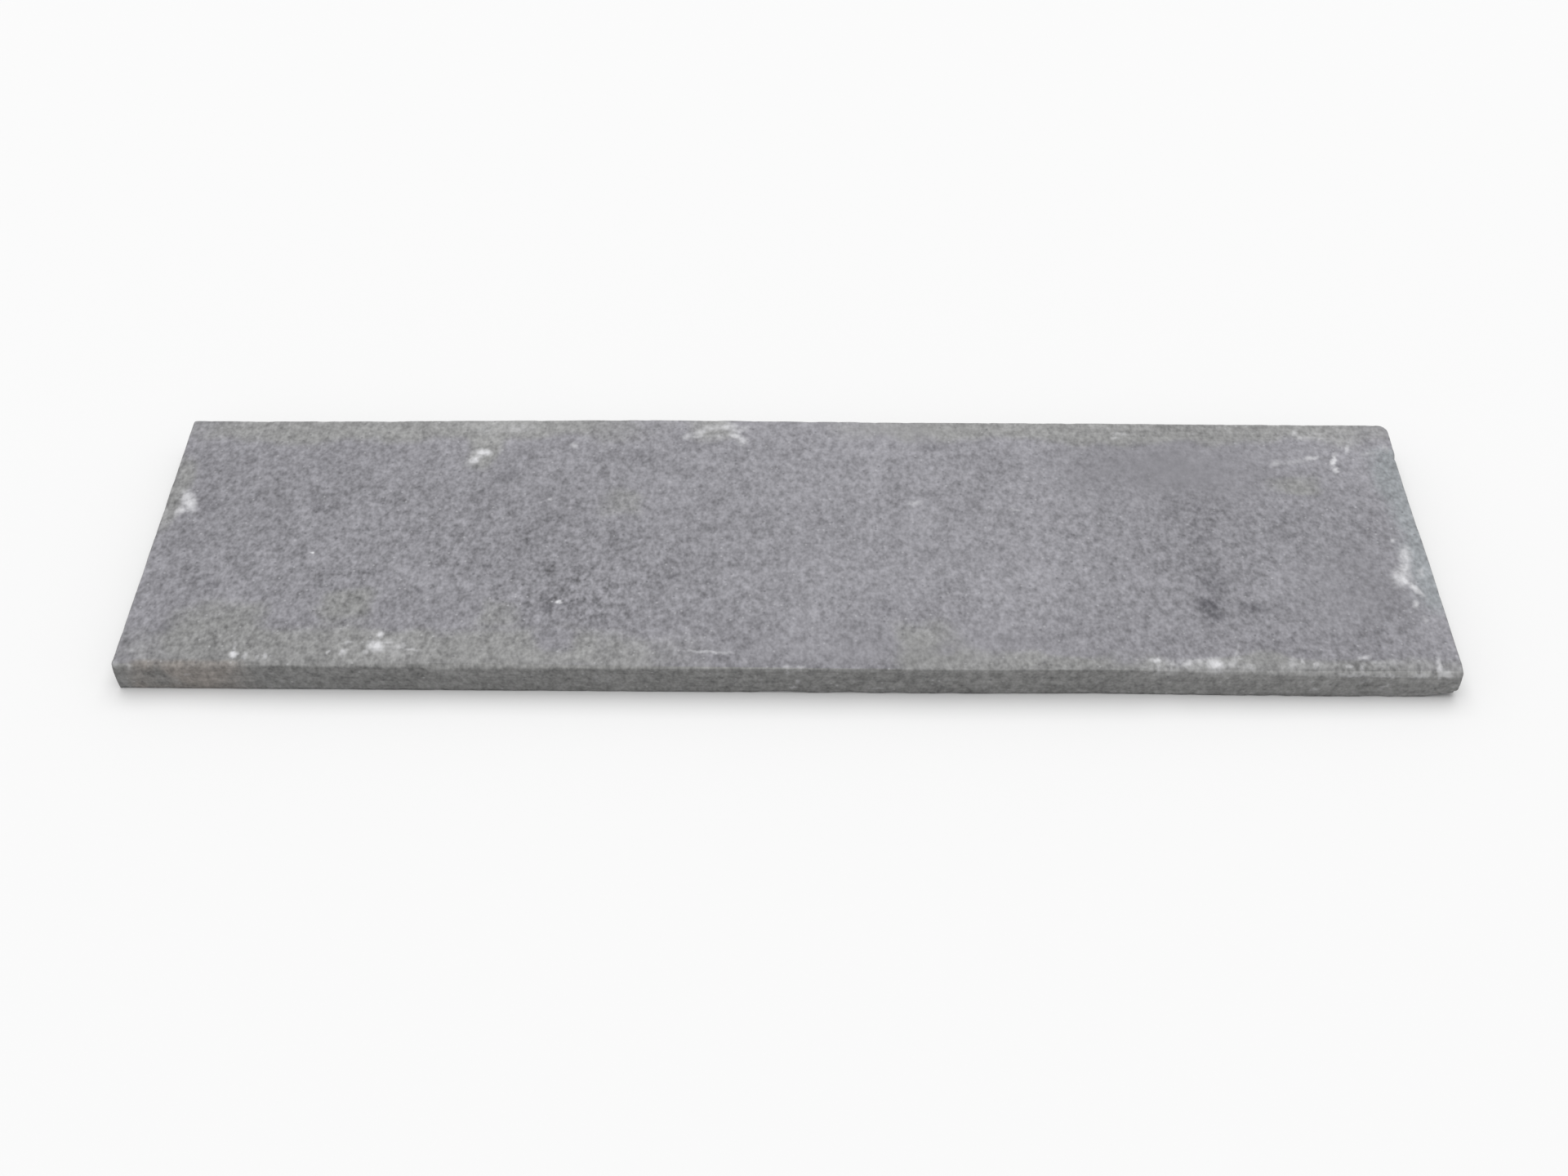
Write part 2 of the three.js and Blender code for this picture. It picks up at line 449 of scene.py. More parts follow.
@dataclass(frozen=True)
class Ripple:
    """Unevenness made of layered noise.

    The swing is its height in metres, or its share of another size. The cell is in metres, and so is the
    start, which shifts the pattern. The way says how fast it changes along x, y and z.
    """

    swing: float
    cell: float
    layers: int = 1
    way: Triple = (1.0, 1.0, 1.0)
    keep: float = 0.5
    start: float = 0.0

    def over(self, noise: LatticeNoise, points: np.ndarray) -> np.ndarray:
        """The unevenness at each point, about from -swing to swing."""
        places = points * self.way + self.start
        return self.swing * noise.layered(places, self.cell, self.layers, self.keep)


def smooth_step(low: float, high: float, value: np.ndarray) -> np.ndarray:
    """The smooth ramp 3 t^2 - 2 t^3 of t, which goes from 0 at `low` to 1 at `high`."""
    t = np.clip((value - low) / (high - low), 0.0, 1.0)
    return t * t * (3.0 - 2.0 * t)


def hump(middle: float, reach: float, value: np.ndarray) -> np.ndarray:
    """The soft hump exp(-((value - middle) / reach)^2), which is 1 in its middle."""
    return np.exp(-(((value - middle) / reach) ** 2))


def graded_steps(low: float, high: float, fine: float, growth: float, coarse: float) -> np.ndarray:
    """Grid positions that are close together at both ends and evenly spaced between.

    From each end the steps are fine, fine x growth, fine x growth^2 and so on, until they reach `coarse`.

    Args:
        low: first position.
        high: last position.
        fine: first step at each end.
        growth: how much longer each step is than the last.
        coarse: longest step.

    Returns:
        The positions in order.
    """
    count = math.ceil(math.log(coarse / fine) / math.log(growth))
    edge = np.concatenate([[0.0], np.cumsum(fine * growth ** np.arange(count))])
    room = high - low - 2.0 * edge[-1]
    inner = np.linspace(low + edge[-1], high - edge[-1], math.ceil(room / coarse) + 1)
    return np.concatenate([low + edge[:-1], inner, (high - edge[:-1])[::-1]])


def patch_sum(points: np.ndarray, patches: tuple[SoftPatch, ...], rim: PatchRim) -> np.ndarray:
    """Adds up soft patches amount x exp(-(u^power + v^power)), seen from above.

    u and v are the distances from the patch's middle along and across the slab, as shares of its half
    length and half width, and the power is the rim's.

    Args:
        points: places on the sharp box, in metres.
        patches: the patches.
        rim: how they fade.

    Returns:
        The sum at each point.
    """
    total = np.zeros(len(points))
    for patch in patches:
        u = np.abs(points[:, 0] / MM - patch.x) / patch.half_length
        v = np.abs(points[:, 1] / MM - patch.y) / patch.half_width
        total += patch.amount * np.exp(-(u**rim.value + v**rim.value))
    return total


@dataclass
class WornSlab:
    """The stone itself: a sawn slab whose arrises and corners are worn.

    low and high are two opposite corners of its box. Sizes are in metres, and places are measured from the
    middle of its underside. Shares, limits and pushes are plain ratios.
    """

    low: Vector
    high: Vector
    arris: float = 0.22 * MM
    arris_ripple: Ripple = Ripple(0.4, 6.0 * MM, 3, (1.0, 1.0, 0.2))
    arris_limits: Pair = (0.5, 1.7)
    wear_start: float = 62.0 * MM
    wear_breadth: float = 3.2 * MM
    wear_depth: float = 1.7 * MM
    wear_ripple: Ripple = Ripple(0.15, 9.0 * MM, 3, (1.0, 0.0, 0.0))
    front_left_radius: float = 0.25 * MM
    front_right_radius: float = 0.7 * MM
    back_right_radius: float = 2.1 * MM
    back_left_radius: float = 0.6 * MM
    back_crest_x: float = -22.0 * MM
    back_fall_left: float = 1.1 * MM
    back_left_foot: float = -108.0 * MM
    back_fall_right: float = 0.32 * MM
    back_right_foot: float = 38.0 * MM
    front_bay: float = 0.28 * MM
    front_bay_x: float = 62.0 * MM
    front_bay_reach: float = 20.0 * MM
    slow_wave: Ripple = Ripple(0.06 * MM, 30.0 * MM, way=(1.0, 0.0, 0.3))
    slow_front_share: float = 0.4
    quick_wave: Ripple = Ripple(0.02 * MM, 4.0 * MM, 2, (1.0, 1.0, 0.5))
    end_wave: Ripple = Ripple(0.03 * MM, 16.0 * MM, way=(0.0, 1.0, 0.3), start=310.0 * MM)
    end_fade_power: int = 8
    end_crown: float = 0.26 * MM
    crown_height: float = 0.45
    crown_share_below: float = 0.5
    end_hollow: float = 0.3 * MM
    end_hollow_run: float = 8.0 * MM
    nick_from_back: float = 10.7 * MM
    nick_reach: float = 1.5 * MM
    nick_depth: float = 0.3 * MM
    nick_run: float = 0.9 * MM
    nick_lip: float = 0.6 * MM
    nick_foot_share: float = 0.35
    chip_spread: float = 2.6
    chip_ripple: Ripple = Ripple(0.35, 1.8 * MM, 2)
    chip_push: float = 0.7
    knock_length: float = 5.6 * MM
    knock_reach: float = 2.9 * MM
    knock_rise: float = 0.85 * MM
    knock_push: Triple = (-0.5, 0.3, 1.0)
    knock_squash: float = 1.5
    knock_ripple: Ripple = Ripple(0.2, 1.8 * MM, 2)
    skin_wave: Ripple = Ripple(0.0125 * MM, 22.0 * MM, 3)
    nibble_depth: float = 0.07 * MM
    worn_nibble_depth: float = 0.12 * MM
    worn_nibble_run: float = 3.0 * MM
    nibble_ripple: Ripple = Ripple(1.0, 2.2 * MM, 3, keep=0.6)
    nibble_bias: float = 0.15
    nibble_limit: float = 2.0
    nibble_reach: float = 0.8 * MM
    wall_band: float = 1.0 * MM
    fine_step: float = 0.09 * MM
    step_growth: float = 1.3
    face_step: float = 0.78 * MM
    side_step: float = 0.3 * MM
    noise: LatticeNoise = field(default_factory=lambda: LatticeNoise(41))

    def __post_init__(self) -> None:
        """Works out the slab's middle, half sizes and thickness from its two corners."""
        middle = (self.low + self.high) / 2.0
        self.half_length = (self.high.x - self.low.x) / 2.0
        self.half_width = (self.high.y - self.low.y) / 2.0
        self.thickness = self.high.z - self.low.z
        self.centre = np.array([middle.x, middle.y, self.low.z])

    def lattice(self) -> tuple[np.ndarray, np.ndarray]:
        """The skin of a sharp box as six graded grids that share their edge points.

        Each face is a grid of two of the three axes at the low or the high end of the third. A point's
        number is its place in the full three-way lattice, so points that two grids share weld exactly.

        Returns:
            Points, one row each, and quads that face outwards.
        """
        spans = (
            (-self.half_length, self.half_length, self.face_step),
            (-self.half_width, self.half_width, self.face_step),
            (0.0, self.thickness, self.side_step),
        )
        axes = [
            graded_steps(low, high, self.fine_step, self.step_growth, longest)
            for low, high, longest in spans
        ]
        counts = [len(axis) for axis in axes]
        strides = (counts[1] * counts[2], counts[2], 1)
        quads = []
        for fixed in range(3):
            first = (fixed + 1) % 3
            second = (fixed + 2) % 3
            rows, columns = np.meshgrid(np.arange(counts[first]), np.arange(counts[second]), indexing="ij")
            for high in (False, True):
                key = rows * strides[first] + columns * strides[second]
                key = key + (counts[fixed] - 1 if high else 0) * strides[fixed]
                ring = [key[:-1, :-1], key[1:, :-1], key[1:, 1:], key[:-1, 1:]]
                ring = ring if high else ring[::-1]
                quads.append(np.stack([corner.ravel() for corner in ring], 1))
        keys, faces = np.unique(np.concatenate(quads), return_inverse=True)
        i, rest = np.divmod(keys, strides[0])
        j, k = np.divmod(rest, strides[1])
        return np.stack([axes[0][i], axes[1][j], axes[2][k]], 1), faces.reshape(-1, 4)

    def inset(self, points: np.ndarray) -> np.ndarray:
        """How far each point lies inside the box's outline, seen from above."""
        return np.minimum(self.half_length - np.abs(points[:, 0]), self.half_width - np.abs(points[:, 1]))

    def level(self, points: np.ndarray) -> np.ndarray:
        """How far each point lies from the nearer broad face."""
        return np.minimum(points[:, 2], self.thickness - points[:, 2])

    def wear(self, x: np.ndarray) -> np.ndarray:
        """How far the front top arris is worn: evenly from 0 at the wear's start to 1 at the +X end."""
        return np.clip((x - self.wear_start) / (self.half_length - self.wear_start), 0.0, 1.0)

    def front_rounding(self, points: np.ndarray) -> tuple[np.ndarray, np.ndarray]:
        """Breadth and depth of the worn rounding of the front top arris.

        The wear grows towards the +X end, and each worn stretch adds a soft hump of its sizes. Slow noise
        along the slab makes it all uneven.

        Args:
            points: places on the sharp box.

        Returns:
            Breadth across the working face, and depth down the front.
        """
        x = points[:, 0]
        uneven = 1.0 + self.wear_ripple.over(self.noise, points)
        breadth = self.wear_breadth * self.wear(x)
        depth = self.wear_depth * self.wear(x)
        for stretch in WORN_STRETCHES:
            share = hump(stretch.x * MM, stretch.reach * MM, x)
            breadth = breadth + stretch.breadth * MM * share
            depth = depth + stretch.depth * MM * share
        return self.arris + uneven * breadth, self.arris + uneven * depth

    @staticmethod
    def edge_shift(
        inset: np.ndarray, level: np.ndarray, breadth: np.ndarray, depth: np.ndarray
    ) -> tuple[np.ndarray, np.ndarray]:
        """Moves that turn a square edge into a quarter ellipse.

        The place across (1 at the side wall, 0 at the breadth) and the place up (1 at the broad face, 0 at
        the depth) are both divided by the length of that pair, which bends the square's two outer sides
        into one arc.

        Args:
            inset: distance from the side wall.
            level: distance from the broad face.
            breadth: size of the rounding across the broad face.
            depth: size of the rounding down the side wall.

        Returns:
            How far each point moves in from the wall and away from the broad face.
        """
        across = np.clip(1.0 - inset / breadth, 0.0, 1.0)
        up = np.clip(1.0 - level / depth, 0.0, 1.0)
        reach = np.maximum(np.hypot(across, up), TINY)
        in_edge = (across > 0.0) & (up > 0.0)
        inwards = np.where(in_edge, breadth * (1.0 - across / reach) - inset, 0.0)
        away = np.where(in_edge, depth * (1.0 - up / reach) - level, 0.0)
        return inwards, away

    def rounded(self, points: np.ndarray) -> np.ndarray:
        """Rounds the edges of both broad faces, along the slab and across it, and adds the moves.

        Args:
            points: places on the sharp box.

        Returns:
            The moved places.
        """
        x, y, z = points.T
        top = z > self.thickness / 2.0
        level = self.level(points)
        plain = self.arris * np.clip(1.0 + self.arris_ripple.over(self.noise, points), *self.arris_limits)
        worn_breadth, worn_depth = self.front_rounding(points)
        front = top & (y < 0.0)
        breadth = np.where(front, worn_breadth, plain)
        depth = np.where(front, worn_depth, plain)
        in_y, away_y = self.edge_shift(self.half_width - np.abs(y), level, breadth, depth)
        in_x, away_x = self.edge_shift(self.half_length - np.abs(x), level, plain, plain)
        away = np.where(top, -1.0, 1.0) * (away_x + away_y)
        return np.stack([x - np.sign(x) * in_x, y - np.sign(y) * in_y, z + away], 1)

    def with_round_corners(self, points: np.ndarray) -> np.ndarray:
        """Rounds the four upright corners.

        Within a corner's square, the offset from the square's inner point is shortened until concentric
        squares become concentric arcs: it is multiplied by its longer side over its length.

        Args:
            points: places with square corners.

        Returns:
            The moved places.
        """
        shaped = points.copy()
        corners = (
            (-1, -1, self.front_left_radius),
            (1, -1, self.front_right_radius),
            (1, 1, self.back_right_radius),
            (-1, 1, self.back_left_radius),
        )
        for side_x, side_y, radius in corners:
            dx = side_x * points[:, 0] - (self.half_length - radius)
            dy = side_y * points[:, 1] - (self.half_width - radius)
            inside = (dx > 0.0) & (dy > 0.0)
            scale = np.maximum(dx, dy) / np.maximum(np.hypot(dx, dy), TINY)
            round_x = side_x * (self.half_length - radius + dx * scale)
            round_y = side_y * (self.half_width - radius + dy * scale)
            shaped[:, 0] = np.where(inside, round_x, shaped[:, 0])
            shaped[:, 1] = np.where(inside, round_y, shaped[:, 1])
        return shaped

    def inwards(self, wave: Ripple, points: np.ndarray) -> np.ndarray:
        """A wave that only goes inwards, about from 0 to twice its swing."""
        return wave.swing + wave.over(self.noise, points)

    def with_uneven_edges(self, points: np.ndarray) -> np.ndarray:
        """Makes the front and the back as uneven as a hand-guided saw leaves them, always inwards.

        The back edge falls away from its crest to both ends, by smooth ramps, and the front edge has a
        shallow bay right of the middle. A slow and a quick wave run along both. All of it fades out
        towards the middle of the slab.

        Args:
            points: places with true edges.

        Returns:
            The moved places.
        """
        shaped = points.copy()
        x, y, _ = points.T
        fall = self.back_fall_left * smooth_step(self.back_crest_x, self.back_left_foot, x)
        fall = fall + self.back_fall_right * smooth_step(self.back_crest_x, self.back_right_foot, x)
        bay = self.front_bay * hump(self.front_bay_x, self.front_bay_reach, x)
        slow = self.inwards(self.slow_wave, points)
        quick = self.inwards(self.quick_wave, points)
        shaped[:, 1] -= smooth_step(0.0, self.half_width, y) * (fall + slow + quick)
        front = bay + self.slow_front_share * slow + quick
        shaped[:, 1] += smooth_step(0.0, -self.half_width, y) * front
        return shaped

    def with_uneven_ends(self, points: np.ndarray) -> np.ndarray:
        """Makes both ends uneven, always inwards.

        An end is fullest a little below mid height. It falls away by the square of the height above and
        below that, by a smaller share below. The +X end is hollow in front of its nick. The moves fade out
        away from the ends by a high power of the place along the slab.

        Args:
            points: places with true ends.

        Returns:
            The moved places.
        """
        shaped = points.copy()
        x, y, z = points.T
        height = z / self.thickness - self.crown_height
        above = (height / (1.0 - self.crown_height)) ** 2
        below = self.crown_share_below * (height / self.crown_height) ** 2
        crown = self.end_crown * np.where(height > 0.0, above, below)
        waves = self.inwards(self.end_wave, points) + self.inwards(self.quick_wave, points)
        nick_y = self.half_width - self.nick_from_back
        hollow = smooth_step(-self.end_hollow_run, self.end_hollow_run, y)
        hollow = hollow * smooth_step(nick_y + self.nick_lip, nick_y - self.nick_lip, y)
        hollow = self.end_hollow * hollow * (x > 0.0)
        fade = (np.abs(x) / self.half_length) ** self.end_fade_power
        shaped[:, 0] -= np.sign(x) * fade * (crown + waves + hollow)
        return shaped

    def chipped(self, points: np.ndarray) -> np.ndarray:
        """Takes the flakes out of the front arrises.

        A chip moves each point near its arris inwards, and away from the broad face, by
        bite x (1 - u^2 - v^2), where u is the place along the chip and v the distance from the arris, both
        as shares of the chip's size. Noise makes its rim ragged.

        Args:
            points: places with whole arrises.

        Returns:
            The moved places.
        """
        shaped = points.copy()
        x, y, z = points.T
        swing = self.chip_ripple.over(self.noise, points)
        for chips, level, away in ((TOP_CHIPS, self.thickness - z, -1.0), (FOOT_CHIPS, z, 1.0)):
            from_arris = np.hypot(y + self.half_width, level)
            for chip in chips:
                u = (x - chip.x * MM) / (chip.half_length * MM)
                v = from_arris / (self.chip_spread * chip.bite * MM)
                push = self.chip_push * chip.bite * MM * np.clip(1.0 + swing - u * u - v * v, 0.0, 1.0)
                shaped[:, 1] += push
                shaped[:, 2] += away * push
        return shaped

    def nicked(self, points: np.ndarray) -> np.ndarray:
        """Cuts the nick into the +X end, deepest at the top.

        The end moves in by depth x (1 - u^2 - v^2), where u is the place along the end and v the distance
        from it, both as shares of the nick's size.

        Args:
            points: places with the end whole.

        Returns:
            The moved places.
        """
        shaped = points.copy()
        u = (points[:, 1] - self.half_width + self.nick_from_back) / self.nick_reach
        v = (self.half_length - points[:, 0]) / self.nick_run
        down = self.nick_foot_share + (1.0 - self.nick_foot_share) * points[:, 2] / self.thickness
        shaped[:, 0] -= self.nick_depth * down * np.clip(1.0 - u * u - v * v, 0.0, 1.0)
        return shaped

    def knocked(self, points: np.ndarray) -> np.ndarray:
        """Knocks off the lower front corner of the +X end.

        The corner rises, and moves in from both sides, by rise x (1 - u^2 - v^2), where u is the place
        along the slab and v the distance from the lower front arris, both as shares of the knock's size.

        Args:
            points: places with the corner whole.

        Returns:
            The moved places.
        """
        x, y, z = points.T
        u = (self.half_length - x) / self.knock_length
        v = np.hypot(y + self.half_width, self.knock_squash * z) / self.knock_reach
        swing = self.knock_ripple.over(self.noise, points)
        loss = self.knock_rise * np.clip(1.0 + swing - u * u - v * v, 0.0, 1.0)
        return points + loss[:, None] * self.knock_push

    def grained(self, points: np.ndarray, origin: np.ndarray) -> np.ndarray:
        """Gives the skin its small relief: a shallow wave over the broad faces and nibbled arrises.

        The nibbling falls off with exp(-distance from the arris / reach) and is stronger along the worn
        front.

        Args:
            points: shaped places.
            origin: the same points on the sharp box, which say how near to an arris each one lies.

        Returns:
            Places moved inwards.
        """
        x, y, z = origin.T
        near = np.exp(-np.hypot(self.inset(origin), self.level(origin)) / self.nibble_reach)
        rough = self.nibble_ripple.over(self.noise, points)
        nibble = np.clip(self.nibble_bias + rough, 0.0, self.nibble_limit)
        front = smooth_step(-self.half_width + self.worn_nibble_run, -self.half_width, y)
        strength = self.nibble_depth + self.worn_nibble_depth * front * np.sqrt(self.wear(x))
        depth = self.inwards(self.skin_wave, points) + strength * near * nibble
        towards = np.stack([
            -np.sign(x) * (self.half_length - np.abs(x) < self.wall_band),
            -np.sign(y) * (self.half_width - np.abs(y) < self.wall_band),
            np.where(z > self.thickness / 2.0, -1.0, 1.0),
        ], 1)
        return points + depth[:, None] * towards / np.linalg.norm(towards, axis=1, keepdims=True)

    def mesh(self, name: str) -> bpy.types.Object:
        """Builds the skin as one closed mesh, with the fields that the finish reads.

        Args:
            name: the piece's name.

        Returns:
            The piece, at the origin, with its place in its mesh.
        """
        origin, faces = self.lattice()
        shaped = self.with_round_corners(self.rounded(origin))
        shaped = self.with_uneven_ends(self.with_uneven_edges(shaped))
        shaped = self.knocked(self.nicked(self.chipped(shaped)))
        shaped = self.grained(shaped, origin)
        shaped[:, 2] = np.clip(shaped[:, 2], 0.0, self.thickness)
        data = bpy.data.meshes.new(name)
        data.from_pydata((shaped + self.centre).tolist(), [], faces.tolist())
        data.polygons.foreach_set("use_smooth", np.ones(len(faces), bool))
        for label, values in SkinFields(self, origin).named().items():
            layer = data.attributes.new(label, "FLOAT", "POINT")
            layer.data.foreach_set("value", values.astype(np.float32))
        data.update()
        piece = bpy.data.objects.new(name, data)
        bpy.context.scene.collection.objects.link(piece)
        log.info("%s: %d points, %d quads", name, len(shaped), len(faces))
        return piece


@dataclass
class SkinFields:
    """Values over the slab's skin that the finish reads as attributes.

    Sizes are in metres. The ranges of the front rounding's pale band are where it starts and where it is
    full, as shares of the rounding's breadth and depth. That band is chalky wear, and partly painted light
    that offsets the rounding's own shade.
    """

    slab: WornSlab
    origin: np.ndarray
    drift_ripple: Ripple = Ripple(1.0, 9.0 * MM, 3)
    drift_reach: float = 1.6 * MM
    side_fade: float = 0.25 * MM
    side_lift: float = 0.35
    side_lift_start: float = 30.0 * MM
    side_lift_end: float = 100.0 * MM
    # The front rounding's pale band: chalky wear, and painted light that offsets its shade.
    rubbed_and_lit_share: float = 0.9
    rubbed_and_lit_breadth_range: Pair = (1.4, 0.7)
    rubbed_and_lit_depth_range: Pair = (0.95, 0.75)
    arris_rub_share: float = 0.3
    arris_rub_reach: float = 0.5 * MM
    earth_start: float = -98.0 * MM
    earth_full: float = -110.0 * MM
    earth_drift: float = 3.0 * MM
    earth_end_gap: float = 0.8 * MM
    earth_end_run: float = 5.0 * MM
    earth_over_top: float = 1.7 * MM
    earth_top_full: float = 0.4 * MM
    cool_run: float = 6.3 * MM
    cool_full: float = 2.4 * MM
    cool_front: float = -22.0 * MM
    cool_back: float = 29.0 * MM
    cool_front_run: float = 6.0 * MM
    cool_back_run: float = 3.0 * MM
    streak_start: float = 20.0 * MM
    streak_full: float = 60.0 * MM
    streak_breadth: float = 6.5 * MM
    streak_full_breadth: float = 4.0 * MM

    def __post_init__(self) -> None:
        """Works out the drift of the patches' rims, and what lies on the top and on the sides."""
        self.x, self.y, self.z = self.origin.T
        self.drift = self.drift_ripple.over(self.slab.noise, self.origin)
        shift = np.stack([self.drift, self.drift, np.zeros(len(self.drift))], 1)
        self.drifting = self.origin + self.drift_reach * shift
        self.top = (self.z > self.slab.thickness / 2.0).astype(float)
        self.side = smooth_step(self.side_fade, 0.0, self.slab.inset(self.origin))

    def tone(self) -> np.ndarray:
        """Broad light and dark of the top, and the lighter +X end of the sides.

        Returns:
            One value for each point: 0 where the stone is plain, and more where it is lighter.
        """
        top = patch_sum(self.origin, LIGHT_PATCHES, PatchRim.HAZY) * self.top * (1.0 - self.side)
        lift = self.side_lift * smooth_step(self.side_lift_start, self.side_lift_end, self.x)
        return top + lift * self.side

    def worn_and_lit(self) -> np.ndarray:
        """Pale arrises: wear and painted light on the front rounding, and a worn band along every arris.

        Returns:
            One share from 0 to 1 for each point.
        """
        breadth, depth = self.slab.front_rounding(self.origin)
        level = self.slab.level(self.origin)
        across = (self.y + self.slab.half_width) / breadth
        # Painted light: the front rounding's pale band is chalky wear, lightened further to offset the
        # shade of its tilt.
        rubbed_and_lit = smooth_step(*self.rubbed_and_lit_breadth_range, across) * np.sqrt(self.slab.wear(self.x))
        rubbed_and_lit = rubbed_and_lit * smooth_step(*self.rubbed_and_lit_depth_range, level / depth) * self.top
        arris = np.exp(-np.hypot(self.slab.inset(self.origin), level) / self.arris_rub_reach)
        return np.clip(self.rubbed_and_lit_share * rubbed_and_lit + self.arris_rub_share * arris, 0.0, 1.0)

    def earth(self) -> np.ndarray:
        """Brown staining of the front face's left end, which reaches a little over the top arris.

        Returns:
            One share from 0 to 1 for each point.
        """
        left = -self.slab.half_length
        front = -self.slab.half_width
        share = smooth_step(self.earth_start, self.earth_full, self.x + self.earth_drift * self.drift)
        share = share * smooth_step(left + self.earth_end_gap, left + self.earth_end_run, self.x)
        return share * smooth_step(front + self.earth_over_top, front + self.earth_top_full, self.y)

    def cool(self) -> np.ndarray:
        """The bluish rim along the +X end of the working face.

        Returns:
            One share from 0 to 1 for each point.
        """
        end = self.slab.half_length
        share = smooth_step(end - self.cool_run, end - self.cool_full, self.drifting[:, 0])
        share = share * smooth_step(self.cool_front, self.cool_front + self.cool_front_run, self.y)
        return share * smooth_step(self.cool_back, self.cool_back - self.cool_back_run, self.y) * self.top

    def streaks(self) -> np.ndarray:
        """Where saw lines show: the sides, and the strip of the working face along its back right edge.

        Returns:
            One share from 0 to 1 for each point.
        """
        strip_start = self.slab.half_width - self.streak_breadth
        strip_full = self.slab.half_width - self.streak_full_breadth
        strip = smooth_step(strip_start, strip_full, self.y)
        strip = strip * smooth_step(self.streak_start, self.streak_full, self.x) * self.top
        return np.maximum(self.side, strip)

    def named(self) -> dict[str, np.ndarray]:
        """All the values, by attribute name.

        Returns:
            tone, neutral (grey rather than violet stone), calm (rubbed smooth), side, streaks, the pale
            arrises (wear, and painted light on the front rounding), earth and cool.
        """
        return {
            "tone": self.tone(),
            "neutral": np.clip(patch_sum(self.drifting, NEUTRAL_PATCHES, PatchRim.CRISP), 0.0, 1.0),
            "calm": patch_sum(self.drifting, CALM_PATCHES, PatchRim.HAZY) * self.top,
            "side": self.side,
            "streaks": self.streaks(),
            "worn_and_lit": self.worn_and_lit(),
            "earth": self.earth(),
            "cool": self.cool(),
        }


class NodeBoard:
    """A short way to lay out shader nodes in a material or a node group.

    A Mix node has its sockets once for each kind of value. The numbers here are its colour sockets.
    """

    MIX_FIRST = 6
    MIX_SECOND = 7
    MIX_RESULT = 2

    def __init__(self, tree: bpy.types.NodeTree) -> None:
        """Keeps the tree that the nodes go into."""
        self.tree = tree

    def node(
        self, kind: str, inputs: dict[str | int, Value] | None = None, **settings: object
    ) -> bpy.types.Node:
        """Adds one node.

        Args:
            kind: the node's type name.
            inputs: value or output socket for each input, by name or number.
            settings: properties of the node.

        Returns:
            The node.
        """
        node = self.tree.nodes.new(kind)
        for key, value in settings.items():
            setattr(node, key, value)
        for key, value in (inputs or {}).items():
            self.feed(node.inputs[key], value)
        return node

    def feed(self, socket: Socket, value: Value) -> None:
        """Links an output to the socket, or sets the socket's own value.

        Args:
            socket: the input socket.
            value: an output socket, or a plain value.
        """
        if isinstance(value, Socket):
            self.tree.links.new(value, socket)
        else:
            socket.default_value = value

    def math(self, operation: str, *values: Value, clamp: bool = False) -> Socket:
        """One Math node's result for the given values or outputs."""
        node = self.node("ShaderNodeMath", dict(enumerate(values)), operation=operation, use_clamp=clamp)
        return node.outputs[0]

    def vector(self, operation: str, *values: Value) -> bpy.types.Node:
        """One Vector Math node for the given values or outputs."""
        return self.node("ShaderNodeVectorMath", dict(enumerate(values)), operation=operation)

    def scaled(self, vector: Socket, factor: Value) -> Socket:
        """Multiplies a vector or a colour by one number.

        Args:
            vector: the vector or the colour.
            factor: the number.

        Returns:
            The product.
        """
        node = self.vector("SCALE", vector)
        self.feed(node.inputs["Scale"], factor)
        return node.outputs[0]

    def ramp(self, value: Socket, low: float, high: float) -> Socket:
        """Lays out a smooth ramp.

        Args:
            value: the value that is ramped.
            low: where the ramp is 0.
            high: where the ramp is 1.

        Returns:
            A value from 0 to 1.
        """
        inputs = {"Value": value, "From Min": low, "From Max": high}
        node = self.node("ShaderNodeMapRange", inputs, interpolation_type="SMOOTHSTEP", clamp=False)
        return node.outputs["Result"]

    def blend(self, share: Value, first: Value, second: Value) -> Socket:
        """The colour between two colours at the given share."""
        inputs = {"Factor": share, self.MIX_FIRST: first, self.MIX_SECOND: second}
        return self.node("ShaderNodeMix", inputs, data_type="RGBA").outputs[self.MIX_RESULT]

    def attribute(self, name: str) -> Socket:
        """The value of one of the mesh's attributes."""
        return self.node("ShaderNodeAttribute", attribute_name=name).outputs["Fac"]

    def placed(self, tree: bpy.types.NodeTree, inputs: dict[str, Value]) -> Socket:
        """The first output of a node group that is given these inputs by name."""
        return self.node("ShaderNodeGroup", inputs, node_tree=tree).outputs[0]


def new_group(
    name: str, inputs: dict[str, str], outputs: dict[str, str]
) -> tuple[NodeBoard, dict[str, Socket], dict[str, Socket]]:
    """Starts a shader node group with named sockets.

    Args:
        name: the group's name.
        inputs: socket type for each input name.
        outputs: socket type for each output name.

    Returns:
        The board of the new group, its input sockets and its output sockets, by name.
    """
    tree = bpy.data.node_groups.new(name, "ShaderNodeTree")
    for label, kind in inputs.items():
        tree.interface.new_socket(name=label, in_out="INPUT", socket_type=kind)
    for label, kind in outputs.items():
        tree.interface.new_socket(name=label, in_out="OUTPUT", socket_type=kind)
    board = NodeBoard(tree)
    entry = board.node("NodeGroupInput")
    leave = board.node("NodeGroupOutput")
    given = {socket.name: socket for socket in entry.outputs}
    out = {socket.name: socket for socket in leave.inputs}
    return board, given, out


